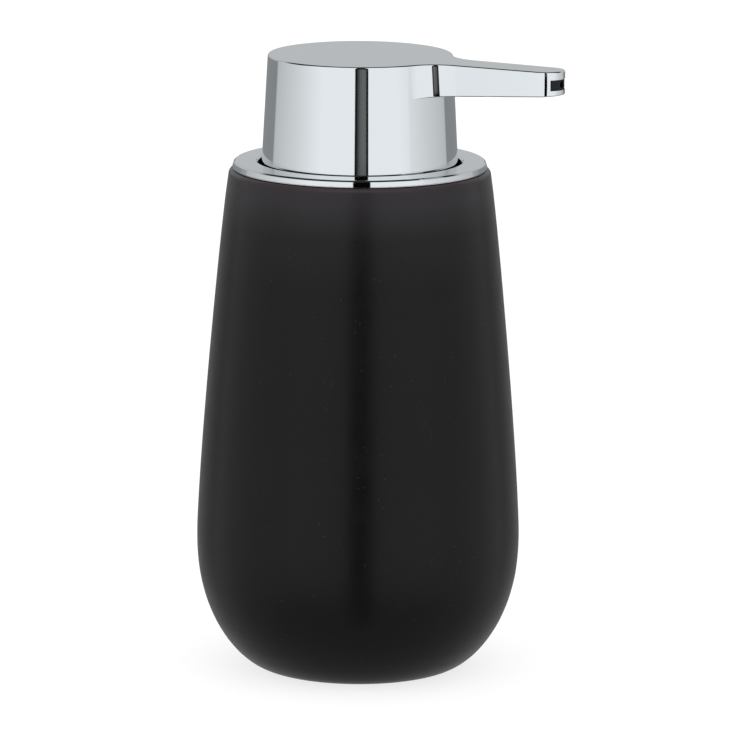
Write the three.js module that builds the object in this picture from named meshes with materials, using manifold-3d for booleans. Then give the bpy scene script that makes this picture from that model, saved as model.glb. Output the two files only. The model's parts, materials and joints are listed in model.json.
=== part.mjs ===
// Soap pump dispenser: a ceramic bottle, a lift-out pump unit and a press head with a flat spout.
// Millimetres, +Z up. The origin is the centre of the base, and +X runs along the spout.
import * as THREE from "three";
import { mergeVertices } from "three/addons/utils/BufferGeometryUtils.js";
import Module from "manifold-3d";

const wasm = await Module();
wasm.setup();

// ---------------------------------------------------------------- driving dimensions

// Facets: sides of large round pieces, of small round pieces, of rods, and of half a wire.
const wideSides = 40;
const slimSides = 24;
const rodSides = 16;
const wireHalfSides = 3;

// Clearances. A face that rests on another keeps restGap, and a bore slides or turns on its shaft.
const restGap = 0.1;
const rimGap = 0.3;
const slideFit = 0.15;
const turnFit = 0.25;

// Bottle
const bottleHeight = 124.8;
const bellyRadius = 40;
const bellyHeight = 32;
const footRadius = 23.3;
const footPull = 4.8; // how far the flat foot runs on before the bowl turns up
const bowlPull = 21.2; // how far the belly runs straight down before the bowl turns in
const bellyPull = 17.5; // how far the belly runs straight up before the side leans in
const shoulderPull = 10.9; // how far the side runs straight below the shoulder
const shoulderLean = 9.1 * (Math.PI / 180);
const shoulderRound = 1.4;
const bottleWall = 4.5;
const rimWall = 3.65; // shoulder to neck bore
const rimChamfer = 0.6;
const neckLandBelowPlug = 4; // the straight neck bore ends this far below the plug
const curveSteps = 8; // outside points on each curve; the cavity has half as many

// Pad in the bottle's foot
const padThickness = 1.2;
const padProud = 0.3;
const padMargin = 5.3; // foot's edge to pad's edge

// Press head
const capTopRadius = 22.7;
const capTaper = 1.44; // the cap is this much wider at its lower edge
const capRise = 26.3; // collar's top to cap's top
const capTopWall = 1.6;
const capSideWall = 1.6;
const capEdgeRound = 0.5;
const skirtSink = 0.6; // the skirt's edge at rest, below the collar's top
const headTravel = 12;
const pressClearance = 1; // left between the head's inside and the guide when it is pressed home

// Spout, measured from the cap's edge along +X
const spoutLength = 33.3;
const spoutRootDistance = 5.3;
const spoutRootHalfWidth = 5.25;
const spoutTipHalfWidth = 4.55;
const spoutRootDepth = 7.8;
const spoutTipDepth = 5.9;
const spoutFilletRadius = 9;
const spoutFilletBite = 0.1; // the fillet starts this deep in the cap's side
const spoutTipRadius = 6;
const spoutSideWall = 1.2;
const spoutBaseThickness = 1.35;

// Slot in the spout's end and the nozzle in it
const slotHalfWidth = 3.4;
const slotHeight = 2.6;
const slotDepth = 7.2;
const troughPastSlot = 0.3; // the trough under the spout ends this far past the slot's back
const nozzleFit = 0.1;
const nozzleRecess = 0.5;
const nozzleLength = 6.4;
const outletRadius = 0.9;
const outletDepth = 1.6;

// Tube in the spout and the spigots that hold its ends
const tubeClearance = 0.2; // above and below the tube, where the spout is shallowest round it
const tubeWall = 0.4;
const spigotLength = 3.6;
const spigotWall = 0.4;
const ductLength = 12; // from the stem's axis to the end of the core's duct

// Core in the head
const coreFit = 0.2;
const corePlateThickness = 1.2;
const corePlateDrop = 5.8; // cap's inner ceiling to the plate's underside
const coreSkirtWall = 1.2;
const coreSkirtHeight = 5;
const socketWall = 1.9;
const turretRadius = 3.2;
const coreRibs = 6;
const coreRibThickness = 1.2;
const coreRibHeight = 4.4;

// Collar ring
const headGap = 0.95; // all round between the cap's lower edge and the collar's hole
const collarTopRise = 2; // bottle's rim to the collar's top
const collarPlate = 0.8;
const collarOverhang = 0.95; // the bottle's shoulder stands this far outside the collar's foot
const collarFlare = 0.6;
const collarEdge = 0.3;
const collarHoleRound = 0.5;
const collarLip = 1.3;
const collarSkirtWall = 1;
const collarSkirtDepth = 7.1;
const snapBead = 0.2;
const snapHeight = 0.6;

// Plug
const plugUpperWall = 1.4;
const plugFloor = 2;
const plugLedge = 0.2; // the well below the collar's skirt is this much wider than the hole
const plugChamfer = 0.8;
const wellClearance = 2; // under the skirt when the head is pressed home
const wellCorner = 1;
const neckFit = 1;

// Seal round the plug
const sealGrooveDepth = 0.9;
const sealGrooveAboveBottom = 1.5;
const sealGrooveBelowLedge = 1.6;
const sealRibs = 3;
const sealRibShare = 0.4; // half a rib's height, as a share of the ribs' spacing
const sealRibClearance = 0.25;

// Pump housing
const housingBore = 6.4;
const housingWall = 1.1;
const housingFlangeWidth = 2.9;
const housingFlangeThickness = 1.2;
const housingBelowFlange = 45.5; // flange's underside to the ball cage's seat
const cageLedge = 0.8;
const chamberRadius = 3.4;
const chamberFlare = 2.4;
const chamberHeight = 2.8;
const ballSeatRadius = 1.7;
const ballSeatHeight = 2;
const ballSeatLand = 1;
const tubeSocketDepth = 8;
const tubeSocketWall = 1.4;
const housingTaper = 6;
const ventRadius = 0.6;
const ventBelowPlug = 1.4;

// Boss on the plug's floor, gasket, guide and nut
const bossHeight = 7;
const bossWall = 2.8;
const bossFit = 0.5;
const gasketThickness = 0.8;
const guideFlangeWidth = 1.7;
const guideFlangeThickness = 0.8;
const guideDepth = 8.2;
const guideNeckWall = 2.25;
const guideNeckRise = 1.2;
const nutWall = 1.6;
const nutTopThickness = 1.4;
const nutFloorGap = 0.8;
const nutGripRibs = 24;
const nutGripDepth = 0.5;
const threadPitch = 3;
const threadRadius = 0.75;
const threadTurns = 1;
const threadFit = 1.15; // bare radius between boss and nut, which the ridges cross

// Stem, its tip, and the piston
const stemRadius = 3.5;
const stemBore = 1.8;
const tipSpigotLength = 5;
const tipShankRadius = 2.4;
const tipShankLength = 6.9;
const tipBore = 1;
const tipPortRadius = 0.7;
const tipFlangeRadius = 4.4;
const tipFlangeThickness = 1.6;
const tipPinRadius = 2.6;
const tipPinLength = 2.4;
const pistonLength = 5.8;
const pistonHubWall = 1.5;
const pistonLipWall = 0.7;
const pistonWeb = 1.4;
const pistonBelowGuide = 2.4;

// Spring, ball cage, ball and dip tube
const springWire = 0.5;
const springClearance = 0.45; // between the spring's coils and the pins inside it
const springTurns = 8;
const springEndPitch = 1.1;
const cageThickness = 1.2;
const cagePinHeight = 2;
const cageWindowWidth = 1.1;
const cageWindows = 3;
const cageWindowAngle = 80 * (Math.PI / 180);
const ballRadius = 2.7;
const dipTubeRadius = 3;
const dipTubeWall = 0.8;
const dipTubeFloorGap = 3;
const dipTubeSlant = 2.5;

// ---------------------------------------------------------------- levels and radii that follow

const footZ = padProud;
const rimZ = footZ + bottleHeight;
const collarTopZ = rimZ + collarTopRise;
const headTopZ = collarTopZ + capRise;
const ceilingZ = headTopZ - capTopWall;
const skirtBottomZ = collarTopZ - skirtSink;
const wellFloorZ = skirtBottomZ - headTravel - wellClearance;
const plugBottomZ = wellFloorZ - plugFloor;
const collarSkirtBottomZ = collarTopZ - collarSkirtDepth;
const ledgeZ = collarSkirtBottomZ - restGap;

const bossTopZ = wellFloorZ + bossHeight;
const gasketZ = bossTopZ + restGap;
const flangeZ = gasketZ + gasketThickness + restGap;
const flangeTopZ = flangeZ + housingFlangeThickness;
const guideFlangeZ = flangeTopZ + restGap;
const guideFlangeTopZ = guideFlangeZ + guideFlangeThickness;
const nutCeilingZ = guideFlangeTopZ + restGap;
const nutTopZ = nutCeilingZ + nutTopThickness;
const guideTopZ = nutTopZ + guideNeckRise;
const guideBottomZ = flangeTopZ - guideDepth;

const socketBottomZ = guideTopZ + headTravel + pressClearance;
const corePlateZ = ceilingZ - corePlateDrop;
const stemTopZ = corePlateZ;

const pistonTopZ = guideBottomZ - pistonBelowGuide;
const pistonBottomZ = pistonTopZ - pistonLength;
const tipFlangeTopZ = pistonBottomZ - restGap;
const tipFlangeZ = tipFlangeTopZ - tipFlangeThickness;
const tipBottomZ = tipFlangeZ - tipPinLength;
const stemBottomZ = tipFlangeTopZ + tipShankLength + restGap;

const cageSeatZ = flangeZ - housingBelowFlange;
const cageZ = cageSeatZ + restGap;
const cageTopZ = cageZ + cageThickness;
const seatTopZ = cageSeatZ - chamberFlare - chamberHeight;
const seatBottomZ = seatTopZ - ballSeatHeight;
const socketTopZ = seatBottomZ - ballSeatLand;
const housingBottomZ = socketTopZ - tubeSocketDepth;
const cavityFloorZ = footZ + bottleWall;

const capBottomRadius = capTopRadius + capTaper;
const holeRadius = capBottomRadius + headGap;
const collarSkirtRadius = holeRadius + collarSkirtWall;
const plugUpperBore = collarSkirtRadius + slideFit;
const plugRadius = plugUpperBore + plugUpperWall;
const wellRadius = holeRadius + plugLedge;
const sealGrooveRadius = plugRadius - sealGrooveDepth;
const neckRadius = plugRadius + neckFit;
const shoulderRadius = neckRadius + rimWall;
const collarFootRadius = shoulderRadius - collarOverhang;
const collarLipRadius = collarFootRadius - collarLip;
const plugFlangeRadius = collarLipRadius - rimGap;

const housingRadius = housingBore + housingWall;
const bossBore = housingRadius + bossFit;
const bossRadius = bossBore + bossWall;
const housingFlangeRadius = housingRadius + housingFlangeWidth;
const nutBore = bossRadius + threadFit;
const guideFlangeRadius = housingRadius + guideFlangeWidth;
const guideBore = stemRadius + slideFit;
const guideNeckRadius = guideBore + guideNeckWall;
const springRadius = tipPinRadius + springClearance + springWire;

const spoutRootX = capTopRadius + spoutRootDistance;
const spoutTipX = capTopRadius + spoutLength;
const troughStartX = capBottomRadius + rimGap;
const troughEndX = spoutTipX - slotDepth + troughPastSlot;
const tipCentreX = spoutTipX - spoutTipRadius;
const nozzleBackX = spoutTipX - nozzleRecess - nozzleLength;
const spoutLean = Math.atan2(spoutRootHalfWidth - spoutTipHalfWidth, spoutTipX - spoutRootX);

// The tube fills the spout's hollow where it ends at the nozzle, and the slot is level with it.
const hollowFloorZ = spoutUndersideZ(nozzleBackX) + spoutBaseThickness;
const ductZ = (hollowFloorZ + ceilingZ) / 2;
const tubeRadius = (ceilingZ - hollowFloorZ) / 2 - tubeClearance;
const spigotRadius = tubeRadius - tubeWall - restGap / 2;

// ---------------------------------------------------------------- solids from three.js shapes

// A closed geometry as a solid, with its corners welded and its empty triangles dropped.
function solidOf(geometry) {
  const bare = geometry.index ? geometry.toNonIndexed() : geometry.clone();
  bare.deleteAttribute("normal");
  bare.deleteAttribute("uv");
  const welded = mergeVertices(bare, 1e-4);
  const corners = welded.index.array;
  const kept = [];
  for (let i = 0; i < corners.length; i += 3) {
    const [a, b, c] = corners.slice(i, i + 3);
    if (a !== b && b !== c && c !== a) kept.push(a, b, c);
  }
  return new wasm.Manifold(
    new wasm.Mesh({
      numProp: 3,
      vertProperties: new Float32Array(welded.attributes.position.array),
      triVerts: new Uint32Array(kept),
    }),
  );
}

function geometryOf(solid) {
  const mesh = solid.getMesh();
  const geometry = new THREE.BufferGeometry();
  geometry.setAttribute("position", new THREE.BufferAttribute(mesh.vertProperties, 3));
  geometry.setIndex(new THREE.BufferAttribute(mesh.triVerts, 1));
  return geometry;
}

// A profile of [radius, z] points turned round the Z axis: up the outside and down the inside.
function revolve(profile, sides = wideSides) {
  const points = profile.map(([radius, z]) => new THREE.Vector2(radius, z));
  const meetsAxis = points[0].x === 0 && points.at(-1).x === 0;
  if (!meetsAxis) points.push(points[0].clone());
  return solidOf(new THREE.LatheGeometry(points, sides).rotateX(Math.PI / 2));
}

function disc(radius, fromZ, toZ, sides = wideSides) {
  return revolve([[0, fromZ], [radius, fromZ], [radius, toZ], [0, toZ]], sides);
}

function ring(innerRadius, outerRadius, fromZ, toZ, sides = wideSides) {
  return revolve(
    [[innerRadius, fromZ], [outerRadius, fromZ], [outerRadius, toZ], [innerRadius, toZ]],
    sides,
  );
}

// A plan outline raised from fromZ to toZ.
function raise(shape, fromZ, toZ, curveSegments = 6) {
  const settings = { depth: toZ - fromZ, bevelEnabled: false, curveSegments };
  return solidOf(new THREE.ExtrudeGeometry(shape, settings).translate(0, 0, fromZ));
}

// An outline in X and Z, drawn through the whole width along Y.
function drawAcross(corners, halfWidth) {
  const shape = new THREE.Shape(corners.map(([x, z]) => new THREE.Vector2(x, z)));
  const settings = { depth: 2 * halfWidth, bevelEnabled: false };
  const geometry = new THREE.ExtrudeGeometry(shape, settings);
  return solidOf(geometry.rotateX(Math.PI / 2).translate(0, halfWidth, 0));
}

function polygon(corners) {
  return new THREE.Shape(corners.map(([x, y]) => new THREE.Vector2(x, y)));
}

function rodAlongX(radius, fromX, toX, z, sides = rodSides) {
  const rod = new THREE.CylinderGeometry(radius, radius, toX - fromX, sides);
  return solidOf(rod.rotateZ(Math.PI / 2).translate((fromX + toX) / 2, 0, z));
}

class Helix extends THREE.Curve {
  constructor(radius, turns, heightAt) {
    super();
    this.radius = radius;
    this.turns = turns;
    this.heightAt = heightAt;
  }

  getPoint(t, target = new THREE.Vector3()) {
    const angle = 2 * Math.PI * this.turns * t;
    const x = this.radius * Math.cos(angle);
    const y = this.radius * Math.sin(angle);
    return target.set(x, y, this.heightAt(t));
  }
}

// A round wire along a helix.
function coil(wireRadius, helix, stepsPerTurn) {
  const section = new THREE.Shape();
  section.absarc(0, 0, wireRadius, 0, 2 * Math.PI, false);
  const settings = {
    steps: Math.round(helix.turns * stepsPerTurn),
    curveSegments: wireHalfSides,
    extrudePath: helix,
  };
  return solidOf(new THREE.ExtrudeGeometry(section, settings));
}

// ---------------------------------------------------------------- bottle and pad

// The outside from foot to shoulder: a bowl up to the belly, then a long side that leans in.
function bottleSideCurves() {
  const startZ = rimZ - shoulderRound * (1 - Math.sin(shoulderLean));
  const belly = new THREE.Vector2(bellyRadius, footZ + bellyHeight);
  const shoulder = new THREE.Vector2(shoulderRadius, startZ);
  const bowl = new THREE.CubicBezierCurve(
    new THREE.Vector2(footRadius, footZ),
    new THREE.Vector2(footRadius + footPull, footZ),
    new THREE.Vector2(bellyRadius, belly.y - bowlPull),
    belly,
  );
  const side = new THREE.CubicBezierCurve(
    belly,
    new THREE.Vector2(bellyRadius, belly.y + bellyPull),
    new THREE.Vector2(
      shoulderRadius + shoulderPull * Math.sin(shoulderLean),
      startZ - shoulderPull * Math.cos(shoulderLean),
    ),
    shoulder,
  );
  return [bowl, side];
}

function shoulderArc() {
  const centreRadius = shoulderRadius - shoulderRound * Math.cos(shoulderLean);
  const centreZ = rimZ - shoulderRound;
  return [0.25, 0.5, 0.75, 1].map((share) => {
    const angle = shoulderLean + share * (Math.PI / 2 - shoulderLean);
    const radius = centreRadius + shoulderRound * Math.cos(angle);
    return [radius, centreZ + shoulderRound * Math.sin(angle)];
  });
}

// Points on the outside, and the same points moved inwards by the wall.
function bottleSide() {
  const outside = [];
  const inside = [];
  for (const curve of bottleSideCurves()) {
    for (let step = outside.length ? 1 : 0; step <= curveSteps; step += 1) {
      const t = step / curveSteps;
      const point = curve.getPoint(t);
      const along = curve.getTangent(t);
      outside.push([point.x, point.y]);
      inside.push([point.x - bottleWall * along.y, point.y + bottleWall * along.x]);
    }
  }
  return { outside, inside };
}

function bottle() {
  const { outside, inside } = bottleSide();
  const recessRadius = footRadius - padMargin;
  const recessZ = padThickness + restGap;
  const landZ = plugBottomZ - neckLandBelowPlug;
  const cavity = inside
    .filter(([, z], index) => index % 2 === 0 && z < landZ - bottleWall)
    .reverse();
  return revolve([
    [0, recessZ],
    [recessRadius, recessZ],
    [recessRadius, footZ],
    ...outside,
    ...shoulderArc(),
    [neckRadius + rimChamfer, rimZ],
    [neckRadius, rimZ - rimChamfer],
    [neckRadius, landZ],
    ...cavity,
    [0, cavityFloorZ],
  ]);
}

function basePad() {
  return disc(footRadius - padMargin - rimGap, 0, padThickness);
}

// ---------------------------------------------------------------- collar, plug and seal

function collarRing() {
  const plateZ = collarTopZ - collarPlate;
  const topRadius = collarFootRadius - collarFlare;
  const beadZ = collarSkirtBottomZ + snapHeight;
  return revolve([
    [holeRadius, collarSkirtBottomZ],
    [collarSkirtRadius, collarSkirtBottomZ],
    [collarSkirtRadius + snapBead, beadZ],
    [collarSkirtRadius, beadZ + snapHeight],
    [collarSkirtRadius, plateZ],
    [collarLipRadius, plateZ],
    [collarLipRadius, rimZ + rimGap],
    [collarFootRadius, rimZ + rimGap],
    [topRadius, collarTopZ - collarEdge],
    [topRadius - collarEdge, collarTopZ],
    [holeRadius + collarHoleRound, collarTopZ],
    [holeRadius, collarTopZ - collarHoleRound],
  ]);
}

function sealGroove() {
  return { fromZ: plugBottomZ + sealGrooveAboveBottom, toZ: ledgeZ - sealGrooveBelowLedge };
}

function plugShell() {
  const groove = sealGroove();
  const flangeBottomZ = rimZ + rimGap;
  const flangeUpperZ = collarTopZ - collarPlate - slideFit;
  const beadZ = collarSkirtBottomZ + snapHeight;
  return revolve([
    [bossBore, plugBottomZ],
    [plugRadius - plugChamfer, plugBottomZ],
    [plugRadius, plugBottomZ + plugChamfer],
    [plugRadius, groove.fromZ],
    [sealGrooveRadius, groove.fromZ],
    [sealGrooveRadius, groove.toZ],
    [plugRadius, groove.toZ],
    [plugRadius, flangeBottomZ],
    [plugFlangeRadius, flangeBottomZ],
    [plugFlangeRadius, flangeUpperZ],
    [plugUpperBore, flangeUpperZ],
    [plugUpperBore, beadZ + snapHeight],
    [plugUpperBore + snapBead, beadZ],
    [plugUpperBore, collarSkirtBottomZ],
    [plugUpperBore, ledgeZ],
    [wellRadius, ledgeZ],
    [wellRadius, wellFloorZ + wellCorner],
    [wellRadius - wellCorner, wellFloorZ],
    [bossRadius, wellFloorZ],
    [bossRadius, bossTopZ],
    [bossBore, bossTopZ],
  ]);
}

// A ridge of the screw between boss and nut: its centre line climbs by the pitch each turn.
function threadRidge(radius, startZ) {
  const climb = threadPitch * threadTurns;
  return coil(threadRadius, new Helix(radius, threadTurns, (t) => startZ + climb * t), slimSides);
}

function plugBody() {
  const startZ = bossTopZ - threadRadius - restGap - threadPitch * threadTurns;
  return plugShell().add(threadRidge(bossRadius, startZ));
}

// The ring lies in the plug's groove, and its ribs reach almost to the neck's bore.
function neckSeal() {
  const groove = sealGroove();
  const fromZ = groove.fromZ + restGap;
  const toZ = groove.toZ - restGap;
  const spacing = (toZ - fromZ) / sealRibs;
  const ribs = [];
  for (let rib = 0; rib < sealRibs; rib += 1) {
    const z = fromZ + (rib + 0.5) * spacing;
    ribs.push([plugRadius, z - sealRibShare * spacing]);
    ribs.push([neckRadius - sealRibClearance, z]);
    ribs.push([plugRadius, z + sealRibShare * spacing]);
  }
  const bore = sealGrooveRadius + slideFit;
  return revolve([[bore, fromZ], [plugRadius, fromZ], ...ribs, [plugRadius, toZ], [bore, toZ]]);
}

// ---------------------------------------------------------------- housing and what closes it

function pumpHousing() {
  const socketBore = dipTubeRadius + restGap;
  const socketRadius = socketBore + tubeSocketWall;
  const bore = [
    [housingBore, flangeTopZ],
    [housingBore, cageSeatZ],
    [housingBore - cageLedge, cageSeatZ],
    [chamberRadius, cageSeatZ - chamberFlare],
    [chamberRadius, seatTopZ],
    [ballSeatRadius, seatBottomZ],
    [ballSeatRadius, socketTopZ],
    [socketBore, socketTopZ],
    [socketBore, housingBottomZ],
  ];
  const outside = [
    [socketRadius, housingBottomZ],
    [socketRadius, socketTopZ],
    [housingRadius, socketTopZ + housingTaper],
    [housingRadius, flangeZ],
    [housingFlangeRadius, flangeZ],
    [housingFlangeRadius, flangeTopZ],
  ];
  const vent = rodAlongX(ventRadius, 0, housingRadius + 1, plugBottomZ - ventBelowPlug, 8);
  return revolve([...bore, ...outside], slimSides).subtract(vent);
}

function housingGasket() {
  return ring(bossBore, housingFlangeRadius, gasketZ, gasketZ + gasketThickness, slimSides);
}

function stemGuide() {
  return revolve(
    [
      [guideBore, guideBottomZ],
      [housingBore - slideFit, guideBottomZ],
      [housingBore - slideFit, guideFlangeZ],
      [guideFlangeRadius, guideFlangeZ],
      [guideFlangeRadius, guideFlangeTopZ],
      [guideNeckRadius, guideFlangeTopZ],
      [guideNeckRadius, guideTopZ],
      [guideBore, guideTopZ],
    ],
    slimSides,
  );
}

// The nut's outline: a circle with grip ribs, four corners to each rib.
function nutOutline() {
  const corners = [];
  for (let corner = 0; corner < 4 * nutGripRibs; corner += 1) {
    const angle = (2 * Math.PI * corner) / (4 * nutGripRibs);
    const radius = nutBore + nutWall + (corner % 4 < 2 ? nutGripDepth : 0);
    corners.push([radius * Math.cos(angle), radius * Math.sin(angle)]);
  }
  return polygon(corners);
}

function retainingNut() {
  const bottomZ = wellFloorZ + nutFloorGap;
  const startZ = bossTopZ - threadRadius - restGap - threadPitch * (threadTurns + 0.5);
  return raise(nutOutline(), bottomZ, nutTopZ)
    .subtract(disc(nutBore, bottomZ - 1, nutCeilingZ))
    .subtract(disc(guideNeckRadius + turnFit, bottomZ, nutTopZ + 1, slimSides))
    .add(threadRidge(nutBore, startZ));
}

// ---------------------------------------------------------------- stem, tip and piston

function stem() {
  return ring(stemBore, stemRadius, stemBottomZ, stemTopZ - restGap, slimSides);
}

// A blind bore runs down the tip, and two ports let soap into it above the flange.
function stemTip() {
  const spigotTopZ = stemBottomZ + tipSpigotLength;
  const portZ = tipFlangeTopZ + tipPortRadius + restGap;
  const port = rodAlongX(tipPortRadius, -tipShankRadius - 1, tipShankRadius + 1, portZ, 8);
  const turned = revolve(
    [
      [0, tipBottomZ],
      [tipPinRadius, tipBottomZ],
      [tipPinRadius, tipFlangeZ],
      [tipFlangeRadius, tipFlangeZ],
      [tipFlangeRadius, tipFlangeTopZ],
      [tipShankRadius, tipFlangeTopZ],
      [tipShankRadius, stemBottomZ - restGap],
      [stemBore - restGap, stemBottomZ - restGap],
      [stemBore - restGap, spigotTopZ],
      [tipBore, spigotTopZ],
      [tipBore, portZ - tipPortRadius],
      [0, portZ - tipPortRadius],
    ],
    slimSides,
  );
  return turned.subtract(port);
}

// Two lips wipe the housing, and a web joins them to the hub that slides on the tip.
function piston() {
  const bore = tipShankRadius + slideFit;
  const hub = bore + pistonHubWall;
  const lip = housingBore - restGap;
  const lipBore = lip - pistonLipWall;
  const middleZ = (pistonTopZ + pistonBottomZ) / 2;
  return revolve(
    [
      [bore, pistonBottomZ],
      [hub, pistonBottomZ],
      [hub, middleZ - pistonWeb / 2],
      [lipBore, middleZ - pistonWeb / 2],
      [lipBore, pistonBottomZ],
      [lip, pistonBottomZ],
      [lip, pistonTopZ],
      [lipBore, pistonTopZ],
      [lipBore, middleZ + pistonWeb / 2],
      [hub, middleZ + pistonWeb / 2],
      [hub, pistonTopZ],
      [bore, pistonTopZ],
    ],
    slimSides,
  );
}

// ---------------------------------------------------------------- spring, cage, ball, dip tube

// One closed turn at each end, and open turns between them.
function returnSpring() {
  const fromZ = cageTopZ + restGap + springWire;
  const toZ = tipFlangeZ - restGap - springWire;
  const endRise = 2 * springWire * springEndPitch;
  const endShare = 1 / springTurns;
  const openRise = (toZ - fromZ - 2 * endRise) / (1 - 2 * endShare);
  const heightAt = (t) => {
    if (t < endShare) return fromZ + (endRise * t) / endShare;
    if (t > 1 - endShare) return toZ - (endRise * (1 - t)) / endShare;
    return fromZ + endRise + openRise * (t - endShare);
  };
  return coil(springWire, new Helix(springRadius, springTurns, heightAt), 16);
}

function cageWindow(turn) {
  const outer = housingBore - cageLedge;
  const inner = outer - cageWindowWidth;
  const window = new THREE.Shape();
  window.absarc(0, 0, outer, turn, turn + cageWindowAngle, false);
  window.absarc(0, 0, inner, turn + cageWindowAngle, turn, true);
  return raise(window, cageZ - 1, cageTopZ + 1);
}

function ballCage() {
  const plate = disc(housingBore - slideFit, cageZ, cageTopZ, slimSides);
  let cage = plate.add(disc(tipPinRadius, cageZ, cageTopZ + cagePinHeight, slimSides));
  for (let window = 0; window < cageWindows; window += 1) {
    cage = cage.subtract(cageWindow((2 * Math.PI * window) / cageWindows));
  }
  return cage;
}

// The ball lies on the cone of its seat, restGap off it all round.
function ballCentreZ() {
  const coneWidth = chamberRadius - ballSeatRadius;
  const coneLength = Math.hypot(coneWidth, ballSeatHeight);
  const reach = (ballRadius + restGap) * coneLength - ballSeatRadius * ballSeatHeight;
  return seatBottomZ + reach / coneWidth;
}

function inletBall() {
  const ball = new THREE.SphereGeometry(ballRadius, 20, 12).rotateX(Math.PI / 2);
  return solidOf(ball.translate(0, 0, ballCentreZ()));
}

// The lower end is cut at a slant, so that it can't seal itself against the floor.
function dipTube() {
  const endZ = cavityFloorZ + dipTubeFloorGap;
  const tube = ring(dipTubeRadius - dipTubeWall, dipTubeRadius, endZ, socketTopZ - restGap, slimSides);
  const side = dipTubeRadius + 1;
  const wedge = [[-side, endZ - 1], [side, endZ - 1], [side, endZ + dipTubeSlant]];
  return tube.subtract(drawAcross(wedge, side));
}

// ---------------------------------------------------------------- head core, tube and nozzle

// The cap's side at a height: outside, and inside its wall.
function capRadiusAt(z) {
  return capTopRadius + (capTaper * (headTopZ - z)) / (headTopZ - skirtBottomZ);
}

function capBoreAt(z) {
  return capRadiusAt(z) - capSideWall;
}

function coreTurned() {
  const socketBore = stemRadius + restGap;
  const skirtBottom = corePlateZ - coreSkirtHeight;
  const plateTopZ = corePlateZ + corePlateThickness;
  const turretTopZ = ceilingZ - restGap;
  const chamberTopZ = ductZ + stemBore / 2;
  const outerAt = (z) => capBoreAt(z) - coreFit;
  return revolve(
    [
      [0, chamberTopZ],
      [stemBore, chamberTopZ],
      [stemBore, stemTopZ],
      [socketBore, stemTopZ],
      [socketBore, socketBottomZ],
      [socketBore + socketWall, socketBottomZ],
      [socketBore + socketWall, corePlateZ],
      [outerAt(corePlateZ) - coreSkirtWall, corePlateZ],
      [outerAt(skirtBottom) - coreSkirtWall, skirtBottom],
      [outerAt(skirtBottom), skirtBottom],
      [outerAt(plateTopZ), plateTopZ],
      [turretRadius, plateTopZ],
      [turretRadius, turretTopZ],
      [0, turretTopZ],
    ],
    slimSides,
  );
}

// A stiffening rib under the plate, from the socket out to the skirt.
function coreRib(turn) {
  const fromX = stemRadius + restGap + socketWall / 2;
  const toX = capBoreAt(corePlateZ) - coreFit - coreSkirtWall / 2;
  const rib = new THREE.BoxGeometry(toX - fromX, coreRibThickness, coreRibHeight + restGap);
  rib.translate((fromX + toX) / 2, 0, corePlateZ - (coreRibHeight - restGap) / 2);
  return solidOf(rib.rotateZ(turn));
}

function headCore() {
  const spigotEndX = ductLength + spigotLength;
  let core = coreTurned();
  for (let rib = 0; rib < coreRibs; rib += 1) {
    core = core.add(coreRib((2 * Math.PI * (rib + 0.5)) / coreRibs));
  }
  return core
    .add(rodAlongX(tubeRadius, turretRadius / 2, ductLength, ductZ))
    .add(rodAlongX(spigotRadius, ductLength - 1, spigotEndX, ductZ))
    .subtract(rodAlongX(spigotRadius - spigotWall, 0, spigotEndX + 1, ductZ, 8));
}

function outletTube() {
  const fromX = ductLength + restGap;
  const toX = nozzleBackX - restGap;
  return rodAlongX(tubeRadius, fromX, toX, ductZ).subtract(
    rodAlongX(tubeRadius - tubeWall, fromX - 1, toX + 1, ductZ),
  );
}

// The nozzle's face is an arc round the same centre as the spout's end.
function nozzle() {
  const halfWidth = slotHalfWidth - nozzleFit;
  const faceRadius = spoutTipRadius - nozzleRecess;
  const faceAngle = Math.asin(halfWidth / faceRadius);
  const plan = new THREE.Shape();
  plan.moveTo(nozzleBackX, halfWidth);
  plan.lineTo(nozzleBackX, -halfWidth);
  plan.absarc(tipCentreX, 0, faceRadius, -faceAngle, faceAngle, false);
  const fromZ = ductZ - slotHeight / 2 + nozzleFit;
  const toZ = ductZ + slotHeight / 2 - nozzleFit;
  return raise(plan, fromZ, toZ)
    .add(rodAlongX(spigotRadius, nozzleBackX - spigotLength, nozzleBackX + 1, ductZ))
    .subtract(rodAlongX(spigotRadius - spigotWall, nozzleBackX - spigotLength - 1, spoutTipX, ductZ, 8))
    .subtract(rodAlongX(outletRadius, spoutTipX - nozzleRecess - outletDepth, spoutTipX, ductZ));
}

// ---------------------------------------------------------------- head shell and spout

// The upper side of the spout as a straight line: its direction, its normal and its offset.
function spoutSideLine() {
  const along = new THREE.Vector2(Math.cos(spoutLean), -Math.sin(spoutLean));
  const normal = new THREE.Vector2(Math.sin(spoutLean), Math.cos(spoutLean));
  const offset = normal.dot(new THREE.Vector2(spoutRootX, spoutRootHalfWidth));
  return { along, normal, offset };
}

function spoutHalfWidthAt(x) {
  return spoutRootHalfWidth - (x - spoutRootX) * Math.tan(spoutLean);
}

function spoutUndersideZ(x) {
  const slope = (spoutRootDepth - spoutTipDepth) / (spoutTipX - spoutRootX);
  return headTopZ - spoutRootDepth + slope * (x - spoutRootX);
}

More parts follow.
